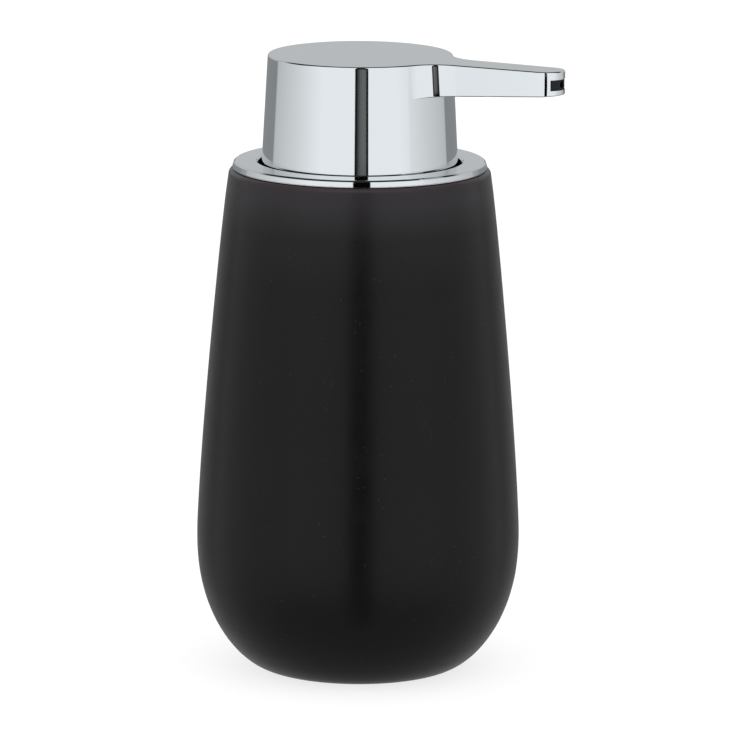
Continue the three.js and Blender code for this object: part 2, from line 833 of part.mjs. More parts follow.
// The plan of the spout: a fillet off the cap's circle, a straight side, and an arc across the end.
function spoutPlan() {
  const { along, normal, offset } = spoutSideLine();
  const capCircle = capTopRadius - spoutFilletBite;
  const away = offset + spoutFilletRadius;
  const forward = Math.sqrt((capCircle + spoutFilletRadius) ** 2 - away ** 2);
  const centre = normal.clone().multiplyScalar(away).addScaledVector(along, forward);
  const onCap = Math.atan2(-centre.y, -centre.x);
  const onSide = Math.atan2(-normal.y, -normal.x);
  const tipCentre = new THREE.Vector2(tipCentreX, 0);
  const tipReach = Math.sqrt(spoutTipRadius ** 2 - (offset - normal.dot(tipCentre)) ** 2);
  const corner = normal.clone().multiplyScalar(offset);
  corner.addScaledVector(along, along.dot(tipCentre) + tipReach);
  const cornerAngle = Math.atan2(corner.y, corner.x - tipCentreX);
  const plan = new THREE.Shape();
  plan.absarc(centre.x, -centre.y, spoutFilletRadius, -onCap, -onSide, true);
  plan.absarc(tipCentreX, 0, spoutTipRadius, -cornerAngle, cornerAngle, false);
  plan.absarc(centre.x, centre.y, spoutFilletRadius, onSide, onCap, true);
  return plan;
}

// Everything in the spout's plan between two heights above its sloping underside.
function spoutSlice(plan, fromX, toX, lowOffset, highOffset) {
  const side = [
    [fromX, spoutUndersideZ(fromX) + lowOffset],
    [toX, spoutUndersideZ(toX) + lowOffset],
    [toX, spoutUndersideZ(toX) + highOffset],
    [fromX, spoutUndersideZ(fromX) + highOffset],
  ];
  const reach = spoutTipX;
  return raise(plan, wellFloorZ, headTopZ + reach).intersect(drawAcross(side, reach));
}

function spoutBlock() {
  const side = [
    [0, spoutUndersideZ(0)],
    [spoutTipX + 1, spoutUndersideZ(spoutTipX + 1)],
    [spoutTipX + 1, headTopZ],
    [0, headTopZ],
  ];
  return raise(spoutPlan(), wellFloorZ, headTopZ).intersect(drawAcross(side, spoutTipX));
}

function taperedPlan(fromX, toX, inset) {
  const near = spoutHalfWidthAt(fromX) - inset;
  const far = spoutHalfWidthAt(toX) - inset;
  return polygon([[fromX, -near], [toX, -far], [toX, far], [fromX, near]]);
}

// The trough is open below, and a window through the cap's side joins it to the cap's inside.
function spoutHollow() {
  const windowX = capBoreAt(headTopZ) - capSideWall;
  const trough = raise(taperedPlan(troughStartX, troughEndX, spoutSideWall), wellFloorZ, ceilingZ);
  const windowZ = spoutUndersideZ(troughStartX) + spoutBaseThickness;
  const window = raise(
    taperedPlan(windowX, troughStartX + 1, spoutSideWall),
    windowZ,
    ceilingZ,
  );
  return trough.add(window);
}

function slotOpening() {
  const backX = spoutTipX - slotDepth;
  const corners = [
    [backX, -slotHalfWidth],
    [spoutTipX + 1, -slotHalfWidth],
    [spoutTipX + 1, slotHalfWidth],
    [backX, slotHalfWidth],
  ];
  return raise(polygon(corners), ductZ - slotHeight / 2, ductZ + slotHeight / 2);
}

function headShell() {
  const cap = revolve([
    [0, skirtBottomZ],
    [capRadiusAt(skirtBottomZ) - capEdgeRound, skirtBottomZ],
    [capRadiusAt(skirtBottomZ + capEdgeRound), skirtBottomZ + capEdgeRound],
    [capTopRadius, headTopZ],
    [0, headTopZ],
  ]);
  const belowZ = skirtBottomZ - 1;
  const inside = revolve([
    [0, belowZ],
    [capBoreAt(belowZ), belowZ],
    [capBoreAt(ceilingZ), ceilingZ],
    [0, ceilingZ],
  ]);
  return cap.add(spoutBlock()).subtract(inside).subtract(spoutHollow()).subtract(slotOpening());
}

// The cover closes the trough, flush with the underside of the spout's walls.
function spoutBase() {
  const fromX = troughStartX + slideFit;
  const toX = troughEndX - slideFit;
  const plan = taperedPlan(fromX, toX, spoutSideWall + slideFit);
  return spoutSlice(plan, fromX, toX, 0, spoutBaseThickness);
}

// ---------------------------------------------------------------- materials and the assembly

function finish(color, roughness, metalness) {
  return new THREE.MeshStandardMaterial({ color, roughness, metalness, flatShading: true });
}

const blackCeramic = finish(0x2c292b, 0.55, 0);
const chrome = finish(0xd9dde0, 0.06, 1);
const blackPlastic = finish(0x101114, 0.45, 0);
const whitePlastic = finish(0xe9e9e4, 0.45, 0);
const naturalPlastic = finish(0xdfe3e2, 0.4, 0);
const greySilicone = finish(0xb9bcbd, 0.6, 0);
const darkFoam = finish(0x232323, 0.9, 0);
const springSteel = finish(0xb4b6b8, 0.3, 1);
const clearPlastic = finish(0xe8edee, 0.25, 0);

const pieces = [
  ["bottle", bottle, blackCeramic],
  ["base_pad", basePad, darkFoam],
  ["neck_seal", neckSeal, greySilicone],
  ["collar_ring", collarRing, chrome],
  ["plug_body", plugBody, blackPlastic],
  ["housing_gasket", housingGasket, greySilicone],
  ["pump_housing", pumpHousing, naturalPlastic],
  ["retaining_nut", retainingNut, whitePlastic],
  ["stem_guide", stemGuide, whitePlastic],
  ["ball_cage", ballCage, naturalPlastic],
  ["dip_tube", dipTube, clearPlastic],
  ["inlet_ball", inletBall, springSteel],
  ["return_spring", returnSpring, springSteel],
  ["piston", piston, naturalPlastic],
  ["stem_tip", stemTip, whitePlastic],
  ["stem", stem, whitePlastic],
  ["head_core", headCore, whitePlastic],
  ["head_shell", headShell, chrome],
  ["spout_base", spoutBase, chrome],
  ["outlet_tube", outletTube, clearPlastic],
  ["nozzle", nozzle, blackPlastic],
];

const dispenser = new THREE.Group();
for (const [name, build, material] of pieces) {
  const mesh = new THREE.Mesh(geometryOf(build()), material);
  mesh.name = name;
  dispenser.add(mesh);
}

export default dispenser;
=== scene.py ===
"""The soap pump dispenser's looks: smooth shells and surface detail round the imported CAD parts."""

import json
import math

import bmesh
import bpy
from mathutils import Matrix, Vector

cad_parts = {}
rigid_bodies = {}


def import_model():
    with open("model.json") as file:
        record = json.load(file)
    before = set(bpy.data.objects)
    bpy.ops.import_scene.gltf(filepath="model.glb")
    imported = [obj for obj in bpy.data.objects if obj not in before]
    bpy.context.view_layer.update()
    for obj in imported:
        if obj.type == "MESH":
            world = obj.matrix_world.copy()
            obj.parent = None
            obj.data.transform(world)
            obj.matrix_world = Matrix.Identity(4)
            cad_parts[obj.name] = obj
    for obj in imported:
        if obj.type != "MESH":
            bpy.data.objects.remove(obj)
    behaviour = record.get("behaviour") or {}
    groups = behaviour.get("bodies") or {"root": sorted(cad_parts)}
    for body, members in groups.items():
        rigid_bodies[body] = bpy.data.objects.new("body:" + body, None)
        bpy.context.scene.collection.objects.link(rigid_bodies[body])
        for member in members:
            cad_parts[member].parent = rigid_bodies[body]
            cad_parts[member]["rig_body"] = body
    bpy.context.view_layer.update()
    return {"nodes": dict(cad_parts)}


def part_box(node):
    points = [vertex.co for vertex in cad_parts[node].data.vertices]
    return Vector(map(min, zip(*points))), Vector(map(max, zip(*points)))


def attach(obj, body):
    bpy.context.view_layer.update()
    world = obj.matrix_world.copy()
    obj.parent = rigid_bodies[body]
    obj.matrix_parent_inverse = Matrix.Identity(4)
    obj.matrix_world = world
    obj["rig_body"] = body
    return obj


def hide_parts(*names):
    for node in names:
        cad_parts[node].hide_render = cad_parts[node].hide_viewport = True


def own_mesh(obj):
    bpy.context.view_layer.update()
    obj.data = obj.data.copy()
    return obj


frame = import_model()

MM = 0.001

# ---------------------------------------------------------------- camera and studio

CAMERA_AZIMUTH = math.radians(28.9)
CAMERA_ELEVATION = math.radians(11.22)
CAMERA_ROLL = math.radians(0.29)
CAMERA_DISTANCE = 1.5164
CAMERA_TARGET = Vector((0, 0, 0.0753))
CAMERA_LENS = 294.1
CAMERA_SHIFT = (0.0216, -0.0114)

# A light tent that only reflections see: (angle, brightness) round its wall, in degrees from the
# camera's side. Its front has a dark gap, which the camera looks in through, with a grey lens
# across the middle of it.
TENT_RADIUS = 0.6
TENT_CENTRE = Vector((0, 0, 0.14))
TENT_WALL = [
    (-180, 0.27), (-123, 0.27), (-120, 0.56), (-82, 0.74), (-46, 0.97), (46, 0.97), (59.5, 0.91),
    (60.5, 0.85), (82, 0.73), (120, 0.56), (123, 0.27), (180, 0.27),
]
TENT_COLUMNS = 1440
TENT_ROWS = 180
GAP_START, GAP_END = -6.1, 9.7
GAP_EDGE = 0.5
GAP_LOWEST, GAP_HIGHEST = -50, 70  # over the top from the camera's side
GAP_DARK = 0.002
LENS_LIGHT = [(-4.6, 0.002), (-3.2, 0.035), (0, 0.12), (4, 0.155), (6.9, 0.13), (7.6, 0.004)]
LENS_ELEVATION = -1.7
LENS_HALF_HEIGHT = 4.3
LENS_SHARPNESS = 3  # its edge fades over one third of its half height
TENT_BACK_LIGHT = 0.54  # low on the wall behind the object, just above the horizon
TENT_ROOF_LIGHT = 0.98
TENT_ROOF_DARK = 0.03
TENT_FLOOR_LIGHT = 0.4

# Where the tent's light passes from one level to the next: the angle it starts at, and its run.
BACK_FADE = (100, 40)  # round the wall
BACK_RISE = (0, 6)  # up the wall
ROOF_FADE = (20, 10)  # up the wall
ROOF_HIGHER_BEHIND = 16
ROOF_SHADE = (66, 10)  # over the top from the camera's side
UNDER_FADE = (16, 30)  # down the wall

LAMP_ELEVATION = math.radians(70)
LAMP_DISTANCE = 1.5
LAMP_SIDE = 1.2
LAMP_POWER = 4
FLOOR_SIDE = 12.0

# ---------------------------------------------------------------- how finely pieces are made

WIDE_SIDES = 160
SLIM_SIDES = 64
CORNER_STEPS = 4
CURVE_STEPS = 5
SHARP_TURN = math.radians(28)  # a profile turns more than this at a corner, and less along a curve
SPRING_STEPS = 32  # for each turn
WIRE_SIDES = 12
TRIM_EDGE = 0.15 * MM
TRIM_TURN = math.radians(35)
WELD = 1e-6

# ---------------------------------------------------------------- sizes of the press head

CAP_TOP_RADIUS = 22.7 * MM
CAP_TAPER = 1.44 * MM
CAP_WALL = 1.6 * MM
CAP_TOP_EDGE = 0.5 * MM
SKIRT_EDGE = 0.5 * MM
BORE_EDGE = 0.3 * MM
SPOUT_ROOT_DISTANCE = 5.3 * MM
SPOUT_ROOT_HALF_WIDTH = 5.25 * MM
SPOUT_TIP_HALF_WIDTH = 4.55 * MM
SPOUT_ROOT_DEPTH = 7.8 * MM
SPOUT_TIP_DEPTH = 5.9 * MM
TIP_POLISH = 0.25 * MM  # taken off the tip
SPOUT_TIP_RADIUS = 5 * MM
SPOUT_CORNER_RADIUS = 4.4 * MM
SPOUT_FILLET = 11 * MM
SPOUT_LOWER_EDGE = 0.35 * MM
LOWER_EDGE_FADE = 3 * MM
SPOUT_SIDE_WALL = 1.2 * MM
SPOUT_BASE_THICKNESS = 1.35 * MM
SLOT_HALF_WIDTH = 3.55 * MM
SLOT_HEIGHT = 2.6 * MM
SLOT_DEPTH = 7.2 * MM
TROUGH_FIT = 0.15 * MM
CUT_OVERRUN = 1 * MM  # how far a cutter runs on past the opening that it makes

# ---------------------------------------------------------------- sizes of the pump and collar

VENT_RADIUS = 0.6 * MM
VENT_BELOW_PLUG = 1.4 * MM
SPRING_WIRE = 0.5 * MM  # the wire's radius
SPRING_TURNS = 8
SPRING_END_PITCH = 1.1  # of a closed turn, in wire thicknesses

# How the collar's shoulder, the edge of its flat and its foot move: beyond that radius, and above
# that height over the bottle's rim, a point of its section moves out and down by that much.
COLLAR_POLISH = [
    (30.6 * MM, 1 * MM, 0.3 * MM, 0.14 * MM),
    (30.2 * MM, 1.5 * MM, 0.15 * MM, 0.07 * MM),
    (30.6 * MM, 0, 0.14 * MM, 0.23 * MM),
    (29.8 * MM, 0, 0, 0.23 * MM),
]


# ---------------------------------------------------------------- meshes

def new_object(name, bm, material):
    mesh = bpy.data.meshes.new(name)
    bmesh.ops.recalc_face_normals(bm, faces=bm.faces)
    bm.to_mesh(mesh)
    bm.free()
    mesh.materials.append(material)
    made = bpy.data.objects.new(name, mesh)
    bpy.context.scene.collection.objects.link(made)
    return made


def shade(piece, sharp_degrees=40):
    """Smooth shading up to that angle, with normals that keep flats flat beside rounded edges."""
    mesh = piece.data
    mesh.polygons.foreach_set("use_smooth", [True] * len(mesh.polygons))
    mesh.set_sharp_from_angle(angle=math.radians(sharp_degrees))
    weighted = piece.modifiers.new("flats", "WEIGHTED_NORMAL")
    weighted.keep_sharp = True
    return piece


def settle(piece, node):
    """The piece stands for a CAD node: it rides on that node's body, and the node itself is hidden.
    """
    cad = frame["nodes"][node]
    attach(piece, cad["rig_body"])
    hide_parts(node)
    return piece


def slot_of(node):
    return frame["nodes"][node].data.materials[0].name


def welded(node):
    """A welded copy of a CAD node's mesh."""
    bm = bmesh.new()
    bm.from_mesh(frame["nodes"][node].data)
    bmesh.ops.remove_doubles(bm, verts=bm.verts, dist=WELD)
    return bm


def everything(bm):
    return bm.verts[:] + bm.edges[:] + bm.faces[:]


def band(bm, lower, upper):
    """Faces up between two rings of vertices; a shared vertex makes a triangle."""
    for index in range(len(lower)):
        onward = (index + 1) % len(lower)
        corners = [lower[index], lower[onward], upper[onward], upper[index]]
        bm.faces.new(list(dict.fromkeys(corners)))


def skirt(bm, upper, lower, closed=True):
    """Faces down between two rings, or two rows, of vertices; a shared one makes a triangle."""
    for index in range(len(upper) if closed else len(upper) - 1):
        onward = (index + 1) % len(upper)
        corners = [upper[index], lower[index], lower[onward], upper[onward]]
        bm.faces.new(list(dict.fromkeys(corners)))


# ---------------------------------------------------------------- turned pieces

def section_of(node, angle):
    """Where the half-plane at that angle cuts a CAD node, as one chain of (radius, z) points."""
    outwards = Vector((math.cos(angle), math.sin(angle), 0))
    across = Vector((-math.sin(angle), math.cos(angle), 0))
    bm = welded(node)
    bmesh.ops.bisect_plane(
        bm, geom=everything(bm), plane_co=(0, 0, 0), plane_no=outwards, clear_inner=True
    )
    bmesh.ops.bisect_plane(
        bm, geom=everything(bm), plane_co=(0, 0, 0), plane_no=across,
        clear_inner=True, clear_outer=True,
    )
    bmesh.ops.remove_doubles(bm, verts=bm.verts, dist=WELD)
    ends = [v for v in bm.verts if len(v.link_edges) == 1]
    chain = ends[:1] or bm.verts[:1]
    while True:
        onward = [e.other_vert(chain[-1]) for e in chain[-1].link_edges]
        onward = [v for v in onward if v not in chain]
        if not onward:
            break
        chain.append(onward[0])
    points = [Vector((v.co.dot(outwards), v.co.z)) for v in chain]
    bm.free()
    return points, not ends


def turn_at(before, point, after):
    return (point - before).angle(after - point)


def neighbours(points, index, closed):
    """The points before and after one; an open chain has none past its ends."""
    before = points[index - 1] if index or closed else None
    after = points[(index + 1) % len(points)] if closed or index < len(points) - 1 else None
    return before, after


def without_straight_points(points, closed):
    """The chain without the points at which it doesn't turn."""
    kept = []
    for index, point in enumerate(points):
        before, after = neighbours(points, index, closed)
        if before is None or after is None or turn_at(before, point, after) > 1e-3:
            kept.append(point)
    return kept


def rounded_corner(before, point, after, radius):
    """Points of an arc that replaces a profile's corner."""
    inward, onward = (before - point), (after - point)
    half_turn = turn_at(before, point, after) / 2
    reach = min(radius * math.tan(half_turn), 0.45 * inward.length, 0.45 * onward.length)
    radius = reach / math.tan(half_turn)
    inward.normalize()
    onward.normalize()
    centre = point + (inward + onward).normalized() * (radius / math.cos(half_turn))
    start = point + inward * reach - centre
    sweep = start.angle_signed(point + onward * reach - centre)
    return [
        centre + Matrix.Rotation(-sweep * step / CORNER_STEPS, 2) @ start
        for step in range(CORNER_STEPS + 1)
    ]


def tangent_at(before, point, after):
    """The way a curve runs through a point between two chords, led by the longer chord."""
    first, second = point - before, after - point
    return (first * first.length + second * second.length).normalized()


def refined(points, closed, radius):
    """The profile with its corners rounded and its curves filled in."""
    points = without_straight_points(points, closed)
    count = len(points)
    corners, tangents = [], []
    for index, point in enumerate(points):
        before, after = neighbours(points, index, closed)
        is_end = before is None or after is None
        is_corner = is_end or turn_at(before, point, after) > SHARP_TURN
        corners.append(is_corner)
        tangents.append(None if is_corner else tangent_at(before, point, after))
    made = []
    for index, point in enumerate(points):
        before, after = neighbours(points, index, closed)
        if before is None or after is None or not corners[index]:
            made.append(point)
        else:
            made += rounded_corner(before, point, after, radius)
        if after is None:
            break
        following = (index + 1) % count
        if corners[index] and corners[following]:
            continue
        made += curve_between(
            point, points[following], tangents[index], tangents[following],
            radius if corners[index] else 0, radius if corners[following] else 0,
        )
    return made


def curve_between(start, end, leaving, arriving, start_corner, end_corner):
    """Points between two profile points; a corner's tangent mirrors the one at the other end."""
    chord = end - start
    length = chord.length
    straight = chord / length
    if leaving is None:
        leaving = 2 * straight.dot(arriving) * straight - arriving
    if arriving is None:
        arriving = 2 * straight.dot(leaving) * straight - leaving
    made = []
    for step in range(1, CURVE_STEPS):
        t = step / CURVE_STEPS
        if t * length <= start_corner or (1 - t) * length <= end_corner:
            continue
        h_start = 2 * t**3 - 3 * t**2 + 1
        h_leaving = t**3 - 2 * t**2 + t
        h_end = 3 * t**2 - 2 * t**3
        h_arriving = t**3 - t**2
        made.append(
            h_start * start + h_leaving * length * leaving
            + h_end * end + h_arriving * length * arriving
        )
    return made


def lathe(profile, closed, sides):
    """A profile of (radius, z) points turned round the Z axis."""
    bm = bmesh.new()
    rings = []
    for radius, z in profile:
        if radius < WELD:
            rings.append([bm.verts.new((0, 0, z))] * sides)
            continue
        angles = [2 * math.pi * side / sides for side in range(sides)]
        places = [(radius * math.cos(a), radius * math.sin(a), z) for a in angles]
        rings.append([bm.verts.new(place) for place in places])
    for lower, upper in zip(rings, rings[1:]):
        band(bm, lower, upper)
    if closed:
        band(bm, rings[-1], rings[0])
    return bm


def turned(node, material, edge=0.2 * MM, sides=SLIM_SIDES, moved=None, cutter=None):
    """A fine copy of a turned CAD node, from its own section, whose points may be moved first."""
    points, closed = section_of(node, math.radians(180.02))
    if moved:
        points = [moved(point) for point in points]
    bm = lathe(refined(points, closed, edge), closed, sides)
    piece = new_object(node + "_shell", bm, material)
    if cutter:
        cut(piece, cutter)
    return settle(shade(piece), node)


def trimmed(node, material):
    """A copy of a CAD node with its facets joined and its edges bevelled."""
    bm = welded(node)
    bmesh.ops.dissolve_limit(
        bm, angle_limit=math.radians(0.5), verts=bm.verts, edges=bm.edges
    )
    piece = new_object(node + "_shell", bm, material)
    bevel = piece.modifiers.new("edges", "BEVEL")
    bevel.width = TRIM_EDGE
    bevel.segments = 2
    bevel.angle_limit = TRIM_TURN
    return settle(shade(piece, 30), node)


# ---------------------------------------------------------------- press head

HEAD_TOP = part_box("head_shell")[1].z
SKIRT_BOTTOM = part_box("head_shell")[0].z
SPOUT_TIP_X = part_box("head_shell")[1].x - TIP_POLISH
SPOUT_ROOT_X = CAP_TOP_RADIUS + SPOUT_ROOT_DISTANCE
SPOUT_LEAN = math.atan2(SPOUT_ROOT_HALF_WIDTH - SPOUT_TIP_HALF_WIDTH, SPOUT_TIP_X - SPOUT_ROOT_X)
CAP_COLUMNS = 150
FILLET_STEPS = 16
SIDE_STEPS = 5
TIP_CORNER_STEPS = 6
TIP_STEPS = 8
WALL_LEVELS = 5
UNDER_SPOUT_COLUMNS = 20


def cap_radius(z):
    return CAP_TOP_RADIUS + CAP_TAPER * (HEAD_TOP - z) / (HEAD_TOP - SKIRT_BOTTOM)


def spout_underside(x):
    slope = (SPOUT_ROOT_DEPTH - SPOUT_TIP_DEPTH) / (SPOUT_TIP_X - SPOUT_ROOT_X)
    return HEAD_TOP - SPOUT_ROOT_DEPTH + slope * (x - SPOUT_ROOT_X)


def spout_half_width(x):
    return SPOUT_ROOT_HALF_WIDTH - (x - SPOUT_ROOT_X) * math.tan(SPOUT_LEAN)


def arc(centre, radius, start, end, steps):
    """(point, outward normal) along an arc, from just after its start; outward is away from
    the centre, or towards it where the radius is negative."""
    made = []
    for step in range(1, steps + 1):
        angle = start + (end - start) * step / steps
        out = Vector((math.cos(angle), math.sin(angle)))
        made.append((centre + abs(radius) * out, out if radius > 0 else -out))
    return made


def direction(vector):
    return math.atan2(vector.y, vector.x)


def half_spout(radius):
    """The spout's +Y edge from the cap's circle to the middle of the tip, and the root's angle."""
    along = Vector((math.cos(SPOUT_LEAN), -math.sin(SPOUT_LEAN)))
    normal = Vector((math.sin(SPOUT_LEAN), math.cos(SPOUT_LEAN)))
    offset = normal.dot(Vector((SPOUT_ROOT_X, SPOUT_ROOT_HALF_WIDTH)))
    away = offset + SPOUT_FILLET
    fillet = normal * away + along * math.sqrt((radius + SPOUT_FILLET) ** 2 - away**2)
    tip = Vector((SPOUT_TIP_X - SPOUT_TIP_RADIUS, 0))
    reach = SPOUT_TIP_RADIUS - SPOUT_CORNER_RADIUS
    inside = offset - SPOUT_CORNER_RADIUS
    forward = along.dot(tip) + math.sqrt(reach**2 - (inside - normal.dot(tip)) ** 2)
    corner = normal * inside + along * forward
    side_start = fillet - normal * SPOUT_FILLET
    side_end = corner + normal * SPOUT_CORNER_RADIUS
    fillet_start = direction(-fillet) % (2 * math.pi)
    fillet_end = direction(-normal) % (2 * math.pi)
    edge = arc(fillet, -SPOUT_FILLET, fillet_start, fillet_end, FILLET_STEPS)
    for step in range(1, SIDE_STEPS + 1):
        edge.append((side_start.lerp(side_end, step / SIDE_STEPS), normal))
    edge += arc(
        corner, SPOUT_CORNER_RADIUS, direction(normal), direction(corner - tip), TIP_CORNER_STEPS
    )
    edge += arc(tip, SPOUT_TIP_RADIUS, direction(corner - tip), 0, TIP_STEPS)
    return edge, direction(fillet)


def head_outline(z):
    """The head's plan round the cap and the spout at a height: (point, outward normal) columns."""
    edge, root = half_spout(cap_radius(z))
    centre = Vector((0, 0))
    out = Vector((math.cos(root), math.sin(root)))
    cap = [(out * cap_radius(z), out)]
    cap += arc(centre, cap_radius(z), root, 2 * math.pi - root, CAP_COLUMNS)
    mirrored = [(Vector((p.x, -p.y)), Vector((n.x, -n.y))) for p, n in edge]
    return cap + mirrored + edge[-2::-1], root


def column_depths(outline, root_x):
    """For each column, the underside's height there and how far its lower edge is rounded."""
    depths = []
    for index, (point, _) in enumerate(outline):
        if index <= CAP_COLUMNS:
            depths.append((spout_underside(root_x), 0))
            continue
        fade = min(1, (point.x - root_x) / LOWER_EDGE_FADE)
        depths.append((spout_underside(point.x), SPOUT_LOWER_EDGE * fade))
    return depths


def head_outer(bm):
    """The outside of cap and spout down to the spout's lower edge. Gives back the lowest ring, the
    columns' depths, how a point is placed in a column, and the angle of the spout's root."""
    top_outline, _ = head_outline(HEAD_TOP)
    belt_z = spout_underside(CAP_TOP_RADIUS)
    belt_outline, root = head_outline(belt_z)
    depths = column_depths(top_outline, top_outline[0][0].x)

    def place(index, z, inset):
        share = (HEAD_TOP - z) / (HEAD_TOP - belt_z)
        point = top_outline[index][0].lerp(belt_outline[index][0], share)
        normal = top_outline[index][1].lerp(belt_outline[index][1], share)
        return point - normal.normalized() * inset

    columns = range(len(top_outline))
    rings = []
    for step in range(CORNER_STEPS + 1):
        angle = math.pi / 2 * step / CORNER_STEPS
        z = HEAD_TOP - CAP_TOP_EDGE * (1 - math.cos(angle))
        inset = CAP_TOP_EDGE * (1 - math.sin(angle))
        rings.append([bm.verts.new((*place(i, z, inset), z)) for i in columns])
    start_z = HEAD_TOP - CAP_TOP_EDGE
    for level in range(1, WALL_LEVELS + 1):
        ring = []
        for i in columns:
            low, edge = depths[i]
            z = start_z + (low + edge - start_z) * level / WALL_LEVELS
            ring.append(bm.verts.new((*place(i, z, 0), z)))
        rings.append(ring)
    for upper, lower in zip(rings, rings[1:]):
        skirt(bm, upper, lower)
    bm.faces.new(rings[0])
    return rings[-1], depths, place, root


def head_lower(bm, belt, depths, place, root):
    """The spout's rounded lower edge and underside, and the cap's cone down to its skirt."""
    spout = range(CAP_COLUMNS + 1, len(belt))
    ring = [belt[CAP_COLUMNS]] + [belt[i] for i in spout] + [belt[0]]
    for step in range(1, CORNER_STEPS + 1):
        angle = math.pi / 2 * step / CORNER_STEPS
        lower = [ring[0]]
        for i in spout:
            low, edge = depths[i]
            inset = edge * (1 - math.cos(angle))
            point = place(i, low, inset)
            z = spout_underside(point.x) + edge * (1 - math.sin(angle))
            lower.append(bm.verts.new((*point, z)))
        lower.append(ring[-1])
        skirt(bm, ring, lower, closed=False)
        ring = lower
    under = []
    for step in range(1, UNDER_SPOUT_COLUMNS):
        angle = -root + 2 * root * step / UNDER_SPOUT_COLUMNS
        radius = cap_radius(spout_underside(CAP_TOP_RADIUS))
        x = radius * math.cos(angle)
        under.append(bm.verts.new((x, radius * math.sin(angle), spout_underside(x))))
    bm.faces.new(ring + under[::-1])
    return belt[:CAP_COLUMNS + 1] + under


def head_inside(bm, ring):
    """The skirt's rounded edge, the cap's bore and its ceiling, below the outside's last ring."""
    ceiling = HEAD_TOP - CAP_WALL
    steps = []
    for step in range(CORNER_STEPS + 1):
        angle = math.pi / 2 * step / CORNER_STEPS
        inset = SKIRT_EDGE * (1 - math.cos(angle))
        steps.append((inset, SKIRT_BOTTOM + SKIRT_EDGE * (1 - math.sin(angle))))
    for step in range(CORNER_STEPS + 1):
        angle = math.pi / 2 * step / CORNER_STEPS
        inset = CAP_WALL - BORE_EDGE * (1 - math.sin(angle))
        steps.append((inset, SKIRT_BOTTOM + BORE_EDGE * (1 - math.cos(angle))))
    steps.append((CAP_WALL, ceiling - BORE_EDGE))
    steps.append((CAP_WALL + BORE_EDGE, ceiling))
    for inset, z in steps:
        lower = []
        for above in ring:
            out = Vector((above.co.x, above.co.y)).normalized()
            lower.append(bm.verts.new((*(out * (cap_radius(z) - inset)), z)))
        skirt(bm, ring, lower)
        ring = lower
    bm.faces.new(ring)


def prism(corners, low, high):
    """A plan polygon raised between two heights."""
    bm = bmesh.new()
    lower = [bm.verts.new((x, y, low)) for x, y in corners]
    upper = [bm.verts.new((x, y, high)) for x, y in corners]
    bm.faces.new(lower[::-1])
    bm.faces.new(upper)
    band(bm, lower, upper)
    return bm


def cut(piece, cutter_bm):
    """Takes a closed shape out of a piece for good."""
    cutter = new_object("cutter", cutter_bm, piece.data.materials[0])
    boolean = piece.modifiers.new("cut", "BOOLEAN")
    boolean.operation = "DIFFERENCE"
    boolean.solver = "EXACT"
    boolean.object = cutter
    evaluated = piece.evaluated_get(bpy.context.evaluated_depsgraph_get())
    mesh = bpy.data.meshes.new_from_object(evaluated)
    piece.modifiers.clear()
    old, piece.data = piece.data, mesh
    mesh.name = old.name
    bpy.data.meshes.remove(old)
    bpy.data.meshes.remove(cutter.data)


def tapered_plan(from_x, to_x, inset):
    """The spout's plan between two places along it, narrower by an inset on each side."""
    near, far = spout_half_width(from_x) - inset, spout_half_width(to_x) - inset
    return [(from_x, -near), (to_x, -far), (to_x, far), (from_x, near)]


def head_shell(material):
    """Cap and spout in one moulding, hollow below, with a slot for the nozzle in the tip."""
    bm = bmesh.new()
    belt, depths, place, root = head_outer(bm)
    ring = head_lower(bm, belt, depths, place, root)
    head_inside(bm, ring)
    piece = new_object("head_cap_and_spout", bm, material)
    ceiling = HEAD_TOP - CAP_WALL
    base_low, base_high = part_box("spout_base")
    trough_start, trough_end = base_low.x - TROUGH_FIT, base_high.x + TROUGH_FIT
    trough = tapered_plan(trough_start, trough_end, SPOUT_SIDE_WALL)
    cut(piece, prism(trough, SKIRT_BOTTOM + CAP_WALL, ceiling))
    window_end = trough_start + CUT_OVERRUN
    window = tapered_plan(CAP_TOP_RADIUS - 2 * CAP_WALL, window_end, SPOUT_SIDE_WALL)
    cut(piece, prism(window, spout_underside(trough_start) + SPOUT_BASE_THICKNESS, ceiling))
    cut(piece, slot_cutter())
    return settle(shade(piece), "head_shell")


def slot_cutter():
    """The nozzle's slot, level with the nozzle."""
    nozzle_low, nozzle_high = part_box("nozzle")
    middle = (nozzle_low.z + nozzle_high.z) / 2
    back, front = SPOUT_TIP_X - SLOT_DEPTH, SPOUT_TIP_X + CUT_OVERRUN
    side = SLOT_HALF_WIDTH
    corners = [(back, -side), (front, -side), (front, side), (back, side)]
    return prism(corners, middle - SLOT_HEIGHT / 2, middle + SLOT_HEIGHT / 2)


# ---------------------------------------------------------------- materials

# The glaze's colour by height, as a share of the bottle's: nearly even low down, then a painted glow
# of light over the shoulder below the chrome collar, and a thin brownish painted highlight along the
# rim.
GLAZE_AND_PAINTED_GLOW_BY_HEIGHT = [
    (0.0, (0.0042, 0.004, 0.0042)),
    (0.5, (0.0034, 0.0031, 0.0033)),
    (0.8, (0.004, 0.0036, 0.0039)),
    # from here up: painted glow of light over the shoulder
    (0.9, (0.0085, 0.0077, 0.0084)),
    (0.965, (0.022, 0.0198, 0.0218)),
    (0.992, (0.024, 0.021, 0.023)),
    # painted highlight along the rim's rounded edge
    (0.997, (0.048, 0.038, 0.04)),
]


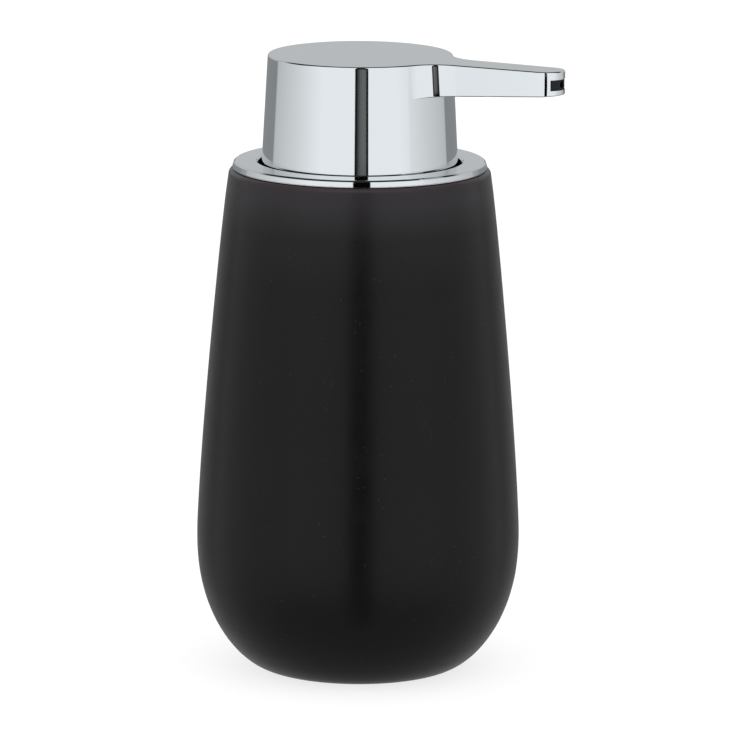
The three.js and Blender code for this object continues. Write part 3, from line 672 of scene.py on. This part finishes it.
class Nodes:
    """Builds one Principled material from its node names."""

    def __init__(self, name):
        self.material = bpy.data.materials.new(name)
        self.material.use_nodes = True
        self.tree = self.material.node_tree
        self.shader = self.tree.nodes["Principled BSDF"]
        self.place = self.add("ShaderNodeTexCoord").outputs["Object"]

    def add(self, kind, **settings):
        node = self.tree.nodes.new(kind)
        for name, value in settings.items():
            if name.startswith("in_"):
                node.inputs[name[3:].replace("_", " ")].default_value = value
            else:
                setattr(node, name, value)
        return node

    def link(self, output, node, socket):
        self.tree.links.new(output, node.inputs[socket])
        return node

    def noise(self, size, detail=2.0):
        """Fractal noise whose lumps are about that many metres across."""
        texture = self.add("ShaderNodeTexNoise", in_Scale=1 / size, in_Detail=detail)
        return self.link(self.place, texture, "Vector").outputs["Fac"]

    def ramp(self, value, stops):
        ramp = self.add("ShaderNodeValToRGB")
        elements = ramp.color_ramp.elements
        while len(elements) < len(stops):
            elements.new(0.5)
        for element, (position, color) in zip(elements, stops):
            element.position = position
            element.color = (*color, 1)
        return self.link(value, ramp, "Fac").outputs["Color"]

    def mix(self, way, first, second):
        """Two colours blended in that way at each point."""
        node = self.add("ShaderNodeMix", data_type="RGBA", blend_type=way)
        node.inputs["Factor"].default_value = 1
        first_color, second_color = (s for s in node.inputs if s.type == "RGBA")
        self.tree.links.new(first, first_color)
        self.tree.links.new(second, second_color)
        return next(s for s in node.outputs if s.type == "RGBA")

    def spread(self, value, low, high):
        """The middle of a noise's range, mapped to low and high."""
        node = self.add(
            "ShaderNodeMapRange", in_From_Min=0.3, in_From_Max=0.7, in_To_Min=low, in_To_Max=high
        )
        return self.link(value, node, "Value").outputs["Result"]

    def bump(self, height, distance, under=None):
        node = self.add("ShaderNodeBump", in_Distance=distance)
        self.link(height, node, "Height")
        if under is not None:
            self.link(under, node, "Normal")
        return node.outputs["Normal"]

    def finish(self, color, roughness, normal=None, **constants):
        self.tree.links.new(color, self.shader.inputs["Base Color"])
        self.tree.links.new(roughness, self.shader.inputs["Roughness"])
        if normal is not None:
            self.tree.links.new(normal, self.shader.inputs["Normal"])
        for name, value in constants.items():
            self.shader.inputs[name.replace("_", " ")].default_value = value
        return self.material


def tinted(color, factor):
    return tuple(channel * factor for channel in color)


def plain_finish(name, color, roughness, variation=0.08, blotch=8 * MM, grain=0.25 * MM,
                 depth=0.01 * MM, **constants):
    """A moulded or metal surface: faint blotches in tone, uneven gloss and a fine grain."""
    nodes = Nodes(name)
    tone = nodes.ramp(
        nodes.noise(blotch, 4),
        [(0.3, tinted(color, 1 - variation)), (0.7, tinted(color, 1 + variation))],
    )
    gloss = nodes.spread(nodes.noise(blotch / 2, 5), roughness * 0.85, roughness * 1.15)
    grain_height = nodes.noise(grain, 2)
    return nodes.finish(tone, gloss, nodes.bump(grain_height, depth), **constants)


def ceramic():
    """Satin black glaze, faintly mottled, with pin-prick specks and a barely uneven skin; a painted
    glow lightens it over the shoulder, and a brownish painted highlight runs along the rim."""
    nodes = Nodes("satin_black_glaze")
    axes = nodes.add("ShaderNodeSeparateXYZ")
    nodes.link(nodes.place, axes, "Vector")
    height = nodes.add("ShaderNodeMapRange", in_From_Max=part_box("bottle")[1].z)
    nodes.link(axes.outputs["Z"], height, "Value")
    # The glaze's colour by height, with the painted glow on the shoulder and the painted highlight
    # at the rim.
    glaze_and_painted_glow = nodes.ramp(height.outputs["Result"], GLAZE_AND_PAINTED_GLOW_BY_HEIGHT)
    mottle = nodes.ramp(nodes.noise(14 * MM, 5), [(0.3, (0.85,) * 3), (0.7, (1,) * 3)])
    specks = nodes.add("ShaderNodeTexVoronoi", in_Scale=1 / (2.6 * MM))
    nodes.link(nodes.place, specks, "Vector")
    dots = nodes.ramp(specks.outputs["Distance"], [(0.05, (0.02, 0.018, 0.02)), (0.09, (0, 0, 0))])
    tone = nodes.mix("LIGHTEN", nodes.mix("MULTIPLY", glaze_and_painted_glow, mottle), dots)
    gloss = nodes.spread(nodes.noise(6 * MM, 6), 0.23, 0.29)
    skin = nodes.bump(nodes.noise(9 * MM, 2), 0.02 * MM)
    grain = nodes.bump(nodes.noise(0.35 * MM, 2), 0.004 * MM, skin)
    return nodes.finish(
        tone, gloss, grain, Specular_IOR_Level=0.19, Sheen_Weight=0.03,
        Sheen_Tint=(1, 0.85, 0.95, 1), Sheen_Roughness=0.4,
    )


def foam():
    """Closed-cell foam: dark and dull, with small pits."""
    nodes = Nodes("dark_foam")
    tone = nodes.ramp(nodes.noise(2 * MM, 5), [(0.3, (0.02,) * 3), (0.7, (0.045,) * 3)])
    cells = nodes.add("ShaderNodeTexVoronoi", in_Scale=1 / (0.5 * MM))
    nodes.link(nodes.place, cells, "Vector")
    pits = nodes.bump(cells.outputs["Distance"], 0.1 * MM)
    rough = nodes.spread(nodes.noise(1 * MM), 0.85, 0.98)
    return nodes.finish(tone, rough, pits)


MATERIALS = {
    "black_ceramic": ceramic(),
    "foam_pad": foam(),
    "chrome_plate": plain_finish(
        "polished_chrome", (0.80, 0.83, 0.85), 0.035, variation=0.01, blotch=20 * MM,
        grain=12 * MM, depth=0.0006 * MM, Metallic=1.0,
    ),
    "black_plastic": plain_finish(
        "black_moulding", (0.005, 0.005, 0.006), 0.45, Specular_IOR_Level=0.25
    ),
    "white_plastic": plain_finish("white_moulding", (0.74, 0.74, 0.71), 0.38, variation=0.03),
    "natural_plastic": plain_finish(
        "milky_moulding", (0.66, 0.70, 0.70), 0.32, variation=0.04, Subsurface_Weight=0.3,
        Subsurface_Scale=2 * MM,
    ),
    "clear_plastic": plain_finish(
        "clear_tubing", (0.86, 0.90, 0.91), 0.16, variation=0.02, Transmission_Weight=0.85, IOR=1.5,
    ),
    "grey_silicone": plain_finish(
        "grey_silicone_rubber", (0.40, 0.41, 0.42), 0.6, grain=0.12 * MM, Sheen_Weight=0.1
    ),
    "spring_steel": plain_finish(
        "drawn_wire", (0.5, 0.5, 0.5), 0.26, variation=0.1, blotch=3 * MM, Metallic=1.0
    ),
}


def material_of(node):
    return MATERIALS[slot_of(node)]


# ---------------------------------------------------------------- the pieces

def vent_cutter():
    """A drill along X into the housing's wall, just below the plug."""
    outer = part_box("pump_housing")[1].x
    place = Vector((outer, 0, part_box("plug_body")[0].z - VENT_BELOW_PLUG))
    turn = Matrix.Translation(place) @ Matrix.Rotation(math.pi / 2, 4, "Y")
    bm = bmesh.new()
    bmesh.ops.create_cone(
        bm, cap_ends=True, segments=24, radius1=VENT_RADIUS, radius2=VENT_RADIUS,
        depth=outer, matrix=turn,
    )
    return bm


def spring_height(share, low, high):
    """The height of the spring's wire at that share of its length: one closed turn at each end."""
    end_share = 1 / SPRING_TURNS
    end_rise = 2 * SPRING_WIRE * SPRING_END_PITCH
    if share < end_share:
        return low + end_rise * share / end_share
    if share > 1 - end_share:
        return high - end_rise * (1 - share) / end_share
    open_share = (share - end_share) / (1 - 2 * end_share)
    return low + end_rise + (high - low - 2 * end_rise) * open_share


def return_spring(material):
    """A round wire along a helix at the CAD spring's length, with one closed turn at each end; the
    real spring shortens as the head is pressed down, and this mesh doesn't.
    """
    lowest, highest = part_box("return_spring")
    radius = highest.x - SPRING_WIRE
    steps = SPRING_TURNS * SPRING_STEPS
    bm = bmesh.new()
    rings = []
    for step in range(steps + 1):
        angle = 2 * math.pi * step / SPRING_STEPS
        height = spring_height(step / steps, lowest.z + SPRING_WIRE, highest.z - SPRING_WIRE)
        out = Vector((math.cos(angle), math.sin(angle), 0))
        centre = radius * out + Vector((0, 0, height))
        around = [2 * math.pi * side / WIRE_SIDES for side in range(WIRE_SIDES)]
        offsets = [math.cos(a) * out + Vector((0, 0, math.sin(a))) for a in around]
        rings.append([bm.verts.new(centre + SPRING_WIRE * offset) for offset in offsets])
    for lower, upper in zip(rings, rings[1:]):
        band(bm, lower, upper)
    bm.faces.new(rings[0])
    bm.faces.new(rings[-1])
    piece = settle(shade(new_object("return_spring_shell", bm, material)), "return_spring")
    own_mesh(piece)


def collar_polish(point):
    """The collar's foot comes down nearly to the bottle's rim, where only a fine line shows, and
    the edge of its flat runs over into a fuller shoulder."""
    height = point.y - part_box("bottle")[1].z
    for inner_radius, lowest, spread, drop in COLLAR_POLISH:
        if point.x > inner_radius and height > lowest:
            return point + Vector((spread, -drop))
    return point


turned("bottle", material_of("bottle"), edge=0.9 * MM, sides=WIDE_SIDES)
turned("base_pad", material_of("base_pad"), edge=0.3 * MM, sides=WIDE_SIDES)
turned("neck_seal", material_of("neck_seal"), sides=WIDE_SIDES)
turned(
    "collar_ring", material_of("collar_ring"), edge=0.3 * MM, sides=WIDE_SIDES, moved=collar_polish
)
turned("plug_body", material_of("plug_body"), sides=WIDE_SIDES)
turned("pump_housing", material_of("pump_housing"), cutter=vent_cutter())
for turned_node in ("housing_gasket", "stem_guide", "piston", "stem", "inlet_ball"):
    turned(turned_node, material_of(turned_node))
head_shell(material_of("head_shell"))
return_spring(material_of("return_spring"))
for cut_node in ("retaining_nut", "ball_cage", "dip_tube", "stem_tip", "head_core", "spout_base",
                 "outlet_tube", "nozzle"):
    trimmed(cut_node, material_of(cut_node))


# ---------------------------------------------------------------- studio and camera

def towards(azimuth, elevation):
    """A direction from the object; azimuth 0 is square-on to the spout's side."""
    return Vector((
        math.sin(azimuth) * math.cos(elevation),
        -math.cos(azimuth) * math.cos(elevation),
        math.sin(elevation),
    ))


def smooth(share):
    """Eases a share, held between 0 and 1, in and out."""
    share = min(1, max(0, share))
    return share * share * (3 - 2 * share)


def fade(angle, start, run):
    """How far a change in the tent's light has come at an angle, from 0 to 1."""
    return smooth((angle - start) / run)


def interpolate(stops, place):
    """The value at a place between (place, value) stops, and the first or last one outside."""
    if place <= stops[0][0]:
        return stops[0][1]
    for (from_place, from_value), (to_place, to_value) in zip(stops, stops[1:]):
        if place <= to_place:
            share = (place - from_place) / (to_place - from_place)
            return from_value + (to_value - from_value) * share
    return stops[-1][1]


def tent_glow(azimuth, elevation):
    """The tent's brightness in a direction, in degrees; azimuth 0 is the camera's side."""
    height = math.sin(math.radians(elevation))
    forward = math.cos(math.radians(elevation)) * math.cos(math.radians(azimuth))
    over = math.degrees(math.atan2(height, forward))
    behind = fade(abs(azimuth), *BACK_FADE)
    wall = interpolate(TENT_WALL, azimuth)
    wall += (TENT_BACK_LIGHT - wall) * behind * fade(elevation, *BACK_RISE)
    roof = TENT_ROOF_LIGHT + (TENT_ROOF_DARK - TENT_ROOF_LIGHT) * fade(over, *ROOF_SHADE)
    glow = wall + (roof - wall) * fade(elevation - ROOF_HIGHER_BEHIND * behind, *ROOF_FADE)
    glow += (TENT_FLOOR_LIGHT - glow) * fade(-elevation, *UNDER_FADE)
    to_edge = min(azimuth - GAP_START, GAP_END - azimuth)
    inside = smooth(to_edge / GAP_EDGE + 0.5) if GAP_LOWEST < over < GAP_HIGHEST else 0
    return glow + (gap_glow(azimuth, elevation) - glow) * inside


def gap_glow(azimuth, elevation):
    """The brightness in the tent's gap, where the lens is and where it isn't."""
    from_lens = abs(elevation - LENS_ELEVATION) / LENS_HALF_HEIGHT
    lens = interpolate(LENS_LIGHT, azimuth) - GAP_DARK
    return GAP_DARK + lens * smooth((1 - from_lens) * LENS_SHARPNESS)


def tent_mesh():
    """A sphere that holds the tent's brightness at each of its vertices."""
    bm = bmesh.new()
    rings, levels = [], []
    for row in range(TENT_ROWS + 1):
        elevation = -90 + 180 * row / TENT_ROWS
        ring = []
        for column in range(TENT_COLUMNS):
            azimuth = 360 * column / TENT_COLUMNS
            out = towards(CAMERA_AZIMUTH + math.radians(azimuth), math.radians(elevation))
            ring.append(bm.verts.new(TENT_CENTRE + TENT_RADIUS * out))
            levels.append(tent_glow((azimuth + 180) % 360 - 180, elevation))
        rings.append(ring)
    for lower, upper in zip(rings, rings[1:]):
        band(bm, lower, upper)
    mesh = bpy.data.meshes.new("light_tent")
    bm.to_mesh(mesh)
    bm.free()
    mesh.attributes.new("glow", "FLOAT", "POINT").data.foreach_set("value", levels)
    return mesh


def tent_cloth():
    """Cloth that glows with the brightness that its mesh holds."""
    cloth = bpy.data.materials.new("tent_cloth")
    cloth.use_nodes = True
    tree = cloth.node_tree
    tree.nodes.clear()
    level = tree.nodes.new("ShaderNodeAttribute")
    level.attribute_name = "glow"
    emission = tree.nodes.new("ShaderNodeEmission")
    emission.inputs["Color"].default_value = (0.97, 0.99, 1, 1)
    output = tree.nodes.new("ShaderNodeOutputMaterial")
    tree.links.new(level.outputs["Fac"], emission.inputs["Strength"])
    tree.links.new(emission.outputs["Emission"], output.inputs["Surface"])
    return cloth


def light_tent():
    """A sphere of cloth round the object, which only reflections see."""
    mesh = tent_mesh()
    mesh.materials.append(tent_cloth())
    tent = bpy.data.objects.new("light_tent", mesh)
    bpy.context.scene.collection.objects.link(tent)
    tent.visible_camera = False
    tent.visible_diffuse = False
    tent.visible_transmission = False
    tent.visible_volume_scatter = False
    tent.visible_shadow = False


def studio_floor():
    """A white table that glows faintly, as one lit from all round does."""
    bm = bmesh.new()
    half = FLOOR_SIDE / 2
    corners = [(-half, -half, 0), (half, -half, 0), (half, half, 0), (-half, half, 0)]
    bm.faces.new([bm.verts.new(corner) for corner in corners])
    paper = plain_finish(
        "lit_white_table", (0.25, 0.25, 0.25), 0.9, variation=0.01, blotch=0.4,
        Emission_Color=(1, 1, 1, 1), Emission_Strength=0.78,
    )
    floor = new_object("floor", bm, paper)
    floor.visible_glossy = False


def world():
    """Even white light from everywhere."""
    made = bpy.data.worlds.new("studio")
    made.use_nodes = True
    background = made.node_tree.nodes["Background"]
    background.inputs["Color"].default_value = (1, 1, 1, 1)
    background.inputs["Strength"].default_value = 1.0
    bpy.context.scene.world = made


def overhead_light():
    """A soft square light above the camera, which reflections don't see."""
    light = bpy.data.lights.new("overhead", "AREA")
    light.shape = "RECTANGLE"
    light.size = LAMP_SIDE
    light.size_y = LAMP_SIDE
    light.energy = LAMP_POWER
    lamp = bpy.data.objects.new("overhead", light)
    out = towards(CAMERA_AZIMUTH, LAMP_ELEVATION)
    lamp.location = TENT_CENTRE + LAMP_DISTANCE * out
    lamp.rotation_mode = "QUATERNION"
    lamp.rotation_quaternion = (-out).to_track_quat("-Z", "Y")
    bpy.context.scene.collection.objects.link(lamp)
    lamp.visible_glossy = False


def camera():
    """The photograph's own view, with its slight roll."""
    made = bpy.data.cameras.new("camera")
    made.lens = CAMERA_LENS
    made.shift_x, made.shift_y = CAMERA_SHIFT
    made.clip_start, made.clip_end = 0.05, 50
    eye = bpy.data.objects.new("camera", made)
    out = towards(CAMERA_AZIMUTH, CAMERA_ELEVATION)
    look = (-out).to_track_quat("-Z", "Y").to_matrix()
    roll = Matrix.Rotation(CAMERA_ROLL, 3, "Z")
    turn = (look @ roll).to_4x4()
    eye.matrix_world = Matrix.Translation(CAMERA_TARGET + CAMERA_DISTANCE * out) @ turn
    bpy.context.scene.collection.objects.link(eye)
    bpy.context.scene.camera = eye


light_tent()
studio_floor()
world()
overhead_light()
camera()
bpy.context.scene.view_settings.view_transform = "Standard"
